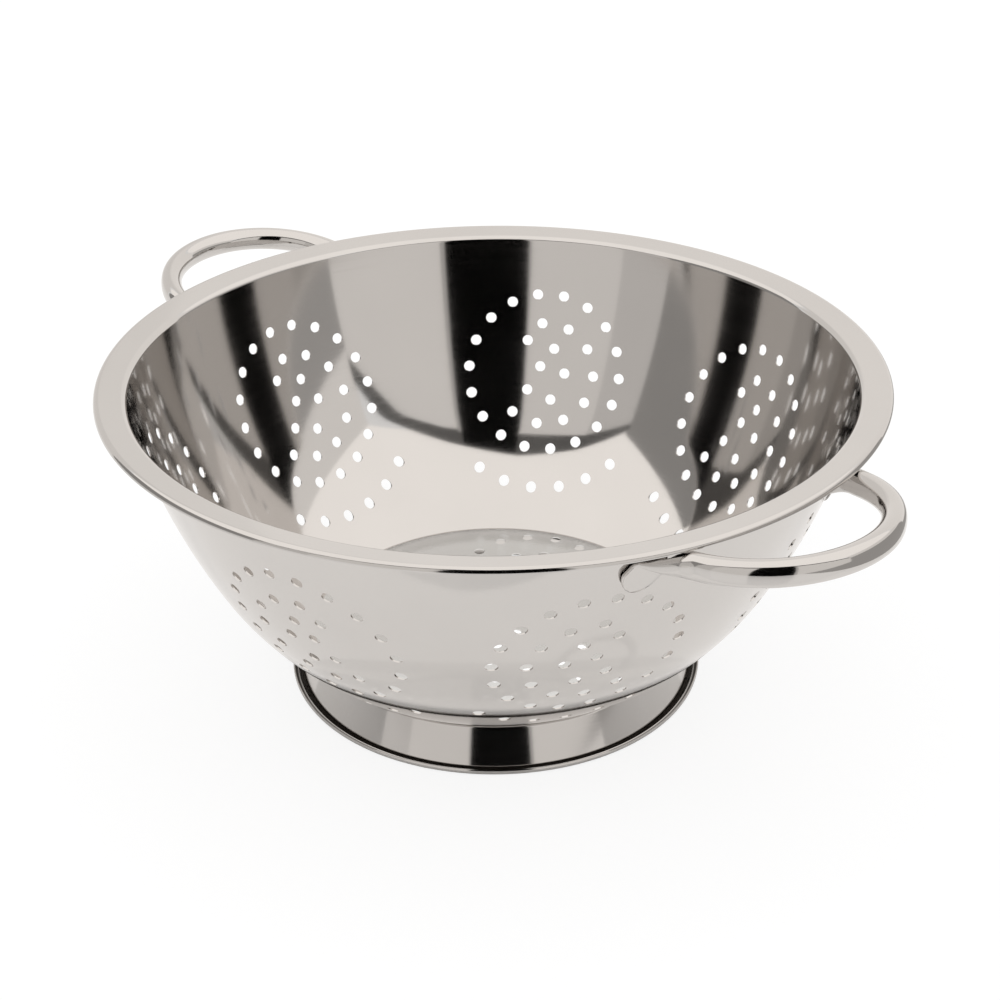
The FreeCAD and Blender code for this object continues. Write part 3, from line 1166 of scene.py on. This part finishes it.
    def build(self, finish: SteelFinish) -> None:
        """Build the handle, close its ends and dress it.

        Args:
            finish: the tube's steel.
        """
        points = self.sections()
        bearing = math.radians(-self.lean_deg if self.side is Side.RIGHT else 180 + self.lean_deg)
        turn = np.array(((math.cos(bearing), -math.sin(bearing), 0.0),
                         (math.sin(bearing), math.cos(bearing), 0.0), (0.0, 0.0, 1.0)))
        points = points @ turn.T
        stations, sides, _ = points.shape
        number = np.arange(stations * sides).reshape(stations, sides)
        after = np.roll(number, -1, 1)
        quads = np.stack((number[:-1], after[:-1], after[1:], number[1:]), -1).reshape(-1, 4)
        piece = mesh_object("bent_" + self.side.value, points.reshape(-1, 3), quads, True)
        self._close(piece.data)
        seat(piece, self.side.value, finish.material())

    def _close(self, mesh: bpy.types.Mesh) -> None:
        """Join the points that meet at the tabs' tips and turn all faces outwards.

        Args:
            mesh: the handle's mesh.
        """
        work = bmesh.new()
        work.from_mesh(mesh)
        bmesh.ops.remove_doubles(work, verts=work.verts, dist=self.join_gap * MM)
        bmesh.ops.recalc_face_normals(work, faces=work.faces)
        work.to_mesh(mesh)
        work.free()


class Stance(Enum):
    """How a studio card hangs: upright round the bowl, or flat above it."""

    UPRIGHT = "upright"
    OVERHEAD = "overhead"


@dataclass(frozen=True)
class Card:
    """A flat studio card that only reflections see.

    Attributes:
        name: the card's name.
        stance: how it hangs.
        turn_deg: its direction from the bowl, counter-clockwise from the camera's.
        away: an upright card's distance from the bowl's axis, or an overhead one's height.
        sideways: where it starts and ends to the side, left first for someone behind it who faces the bowl.
        reach: where it starts and ends in height, or away from the axis if it hangs overhead.
        shade: its brightness.
        slopes: how far its first and last edge climb with each step to the side.
    """

    name: str
    stance: Stance
    turn_deg: float
    away: float
    sideways: tuple[float, float]
    reach: tuple[float, float]
    shade: float
    slopes: tuple[float, float] = (0.0, 0.0)

    def corners(self, camera_bearing_deg: float) -> list[Array]:
        """Work out where the card hangs.

        Args:
            camera_bearing_deg: the camera's bearing from +X.

        Returns:
            The four corners, in turn.
        """
        bearing = math.radians(camera_bearing_deg + self.turn_deg)
        ray, aside = (np.append(ray_at(angle), 0.0) for angle in (bearing, bearing + QUARTER))
        fixed, along = (ray, UP) if self.stance is Stance.UPRIGHT else (UP, ray)
        return [fixed * self.away + aside * self.sideways[a]
                + along * (self.reach[b] + self.slopes[b] * self.sideways[a])
                for a, b in ((0, 0), (1, 0), (1, 1), (0, 1))]


@dataclass
class Studio:
    """The white floor, the even white surroundings, the cards and the camera."""

    cards: tuple[Card, ...] = ()
    card_tint: Colour = (1.035, 1.0, 0.965)
    fill_light: float = 0.95
    floor_size: float = 9000.0
    floor_colour: Colour = (0.93, 0.93, 0.93)
    straight_white: Colour = (1.1, 1.1, 1.1)
    mirrored_white: Colour = (1.13, 1.1, 1.07)
    straight_glow: float = 0.72
    mirrored_glow: float = 0.6
    foot_radius: float = 71.0
    glow_reach: tuple[float, float] = (2.0, 9.0)
    under_reach: tuple[float, float] = (2.0, 5.0)
    camera_place: tuple[float, float, float] = (434.6, -389.5, 384.9)
    camera_drop_deg: float = 28.90
    camera_yaw_deg: float = 0.182
    camera_roll_deg: float = -0.426
    lens: float = 70.24
    sensor_width: float = 36.0
    clip: tuple[float, float] = (0.01, 60.0)

    def build(self) -> None:
        """Build the surroundings."""
        self._world()
        self._floor()
        for card in self.cards:
            self._card(card)
        self._camera()

    def _world(self) -> None:
        """Light everything evenly, with plain white where the camera or a mirror sees it."""
        world = bpy.data.worlds.new("white_studio")
        bpy.context.scene.world = world
        world.use_nodes = True
        bench = NodeBench(world.node_tree)
        rays = bench.outputs("LightPath")
        seen = rays["Is Camera Ray"] + rays["Is Glossy Ray"] + rays["Is Transmission Ray"]
        strength = self.fill_light + seen * (1 - self.fill_light)
        light = bench.add("Background", inputs={"Color": (1.0, 1.0, 1.0, 1.0), "Strength": strength})
        bench.add("OutputWorld", inputs={"Surface": light})

    def _floor(self) -> None:
        """Lay a pale floor that keeps a soft shadow and shines where steel mirrors it at a flat angle.

        For mirrored rays the glow that whitens it ends near the foot's edge, by a smooth step of the
        distance from that circle. Under the bowl it is full, so that the floor's holes look bright.
        """
        material, bench = new_material("pale_floor")
        rays = bench.outputs("LightPath")
        straight = rays["Is Camera Ray"] + rays["Is Transmission Ray"]
        mirrored = rays["Is Glossy Ray"]
        x, y, _ = bench.outputs("SeparateXYZ", {0: bench.add("TexCoord", result="Object")}).values()
        radius = (x * x + y * y) ** 0.5
        gap = radius - self.foot_radius * MM
        clear = bench.smooth_step((gap * gap) ** 0.5, *(reach * MM for reach in self.glow_reach))
        under = bench.smooth_step(0.0 - gap, *(reach * MM for reach in self.under_reach))
        share = (straight * (self.straight_glow + under * (1 - self.straight_glow))
                 + mirrored * (clear * self.mirrored_glow * (1 - under) + under))
        black = (0.0, 0.0, 0.0)
        white = bench.mix(mirrored, self.straight_white, self.mirrored_white)
        sheet = bench.add("BsdfPrincipled", inputs={
            "Base Color": bench.mix(share, self.floor_colour, black), "Roughness": 1.0,
            "Specular IOR Level": 0.0, "Coat Weight": mirrored, "Coat IOR": 2.0, "Coat Roughness": 0.05,
            "Emission Color": bench.mix(share, black, white), "Emission Strength": 1.0})
        bench.add("OutputMaterial", inputs={"Surface": sheet})
        half = self.floor_size / 2
        self._sheet("floor", half * np.array(((-1, -1, 0), (1, -1, 0), (1, 1, 0), (-1, 1, 0))), material)

    def _card(self, card: Card) -> None:
        """Hang one card for reflections alone.

        Args:
            card: the card.
        """
        bearing = math.degrees(math.atan2(self.camera_place[1], self.camera_place[0]))
        material, bench = new_material(card.name)
        shade = (*(card.shade * part for part in self.card_tint), 1.0)
        glow = bench.add("Emission", inputs={"Color": shade, "Strength": 1.0})
        bench.add("OutputMaterial", inputs={"Surface": glow})
        made = self._sheet(card.name, np.array(card.corners(bearing)), material)
        made.visible_camera = made.visible_diffuse = made.visible_shadow = False

    @staticmethod
    def _sheet(name: str, corners: Array, material: bpy.types.Material) -> bpy.types.Object:
        """Make a stage object of one face.

        Args:
            name: the object's name.
            corners: (4, 3) corners, in turn.
            material: its material.

        Returns:
            The object.
        """
        made = mesh_object(name, corners, np.array([[0, 1, 2, 3]]))
        made.data.materials.append(material)
        return made

    def _camera(self) -> None:
        """Set the camera where the photograph was taken from."""
        place = np.array(self.camera_place)
        drop, yaw, roll = np.radians((self.camera_drop_deg, self.camera_yaw_deg, self.camera_roll_deg))
        level = spun(unit(-place * (1, 1, 0)), UP, -yaw)
        ahead = level * math.cos(drop) - UP * math.sin(drop)
        level_right = unit(np.cross(ahead, UP))
        level_above = np.cross(level_right, ahead)
        right = level_right * math.cos(roll) + level_above * math.sin(roll)
        above = level_above * math.cos(roll) - level_right * math.sin(roll)
        data = bpy.data.cameras.new("camera")
        data.lens, data.sensor_width = self.lens, self.sensor_width
        data.clip_start, data.clip_end = self.clip
        camera = link("camera", data)
        turn = Matrix((right, above, -ahead)).transposed().to_4x4()
        camera.matrix_world = Matrix.Translation(Vector(place * MM)) @ turn
        bpy.context.scene.camera = camera


STEEL = (0.617, 0.597, 0.579)
POLISH = SteelFinish(
    "polished_bowl_steel", STEEL, roughness=0.05, haze=0.10, grain=Grain.SPUN, lines_per_m=1400.0,
    line_depth=8e-7, waves_per_m=16.0, wave_depth=3e-5,
    dull_and_shade_layer="plain_floor", dull_and_shade_colour=(0.69, 0.70, 0.70), dull_haze=0.1)
# The foot's steel; its layer paints shade, near black, inside the curl.
FOOT_POLISH = SteelFinish(
    "polished_foot_steel", STEEL, roughness=0.06, haze=0.10, grain=Grain.SPUN, lines_per_m=1400.0,
    line_depth=1e-6, waves_per_m=20.0, wave_depth=2e-5, dull_and_shade_layer="unpolished")
TUBE_POLISH = SteelFinish(
    "polished_tube_steel", STEEL, roughness=0.05, haze=0.08, grain=Grain.EVEN, lines_per_m=900.0,
    line_depth=1e-6, waves_per_m=30.0, wave_depth=2e-5)
WELD = SteelFinish(
    "bare_weld_steel", (0.5, 0.48, 0.46), roughness=0.35, haze=0.25, grain=Grain.EVEN, lines_per_m=1500.0,
    line_depth=1e-5, waves_per_m=60.0, wave_depth=1e-5)
FRONT = (Stance.UPRIGHT, 0.0)
BACK = (Stance.UPRIGHT, 180.0)
LEFT = (Stance.UPRIGHT, -90.0)
RIGHT = (Stance.UPRIGHT, 90.0)
CARDS = (
    Card("front_panel", *FRONT, 700.0, (0.0, 1090.0), (0.0, 870.0), 0.85, (0.0, -0.312)),
    Card("front_panel_left", *FRONT, 700.0, (-720.0, 0.0), (0.0, 870.0), 0.81, (0.0, -0.111)),
    Card("front_panel_end", *FRONT, 700.0, (-1330.0, -720.0), (0.0, 1078.0), 0.66, (0.0, 0.164)),
    Card("valance_right", *FRONT, 695.0, (330.0, 1090.0), (825.0, 1007.0), 0.13, (-0.335, -0.413)),
    Card("valance_middle", *FRONT, 695.0, (-180.0, 330.0), (759.0, 984.0), 0.13, (-0.135, -0.341)),
    Card("valance_left", *FRONT, 695.0, (-700.0, -180.0), (754.0, 1045.0), 0.13, (-0.142, 0.0)),
    Card("valance_end", *FRONT, 695.0, (-1330.0, -700.0), (914.0, 1200.0), 0.13, (0.086, 0.222)),
    Card("slot_frame", *FRONT, 692.0, (-172.0, 232.0), (0.0, 750.0), 0.5),
    Card("camera_slot", *FRONT, 690.0, (-160.0, 208.0), (0.0, 950.0), 0.0, (0.0, -0.34)),
    Card("left_panel", *LEFT, 1330.0, (-700.0, 700.0), (0.0, 960.0), 0.33),
    Card("right_panel", *RIGHT, 1090.0, (-700.0, 700.0), (0.0, 430.0), 0.42),
    Card("right_light", *RIGHT, 1090.0, (-700.0, 700.0), (430.0, 760.0), 0.90),
    Card("top_light", Stance.OVERHEAD, 0.0, 1500.0, (-2600.0, 2600.0), (-1400.0, 1500.0), 1.22),
    Card("back_panel", *BACK, 1500.0, (-2600.0, 160.0), (0.0, 1500.0), 1.02),
    Card("back_panel_left", *BACK, 1500.0, (160.0, 330.0), (0.0, 1500.0), 0.95),
    Card("back_panel_end", *BACK, 1500.0, (330.0, 2600.0), (0.0, 1500.0), 0.87),
    Card("right_floor_end", Stance.OVERHEAD, 90.0, 1.0, (-900.0, 900.0), (290.0, 1090.0), 0.42),
)


def dress_welds(frame: dict[str, Any], finish: SteelFinish) -> None:
    """Give the weld nuggets between the sheets their bare steel.

    Args:
        finish: the welds' steel.
    """
    material = finish.material()
    for node in ("handle_spot_welds", "foot_spot_welds"):
        mesh = frame["nodes"][node].data
        mesh.materials.clear()
        mesh.materials.append(material)
        LOG.info("%s keeps its solid", node)


def main() -> None:
    """Build every piece in order, then the studio."""
    logging.basicConfig(level=logging.INFO, format="%(name)s: %(message)s")
    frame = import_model()
    bpy.context.scene.view_settings.view_transform = "Standard"
    bowl = Bowl()
    bowl.build(POLISH)
    FootRing().build(FOOT_POLISH)
    for side in Side:
        Handle(bowl, side).build(TUBE_POLISH)
    dress_welds(frame, WELD)
    Studio(cards=CARDS).build()


if __name__ == "__main__":
    main()
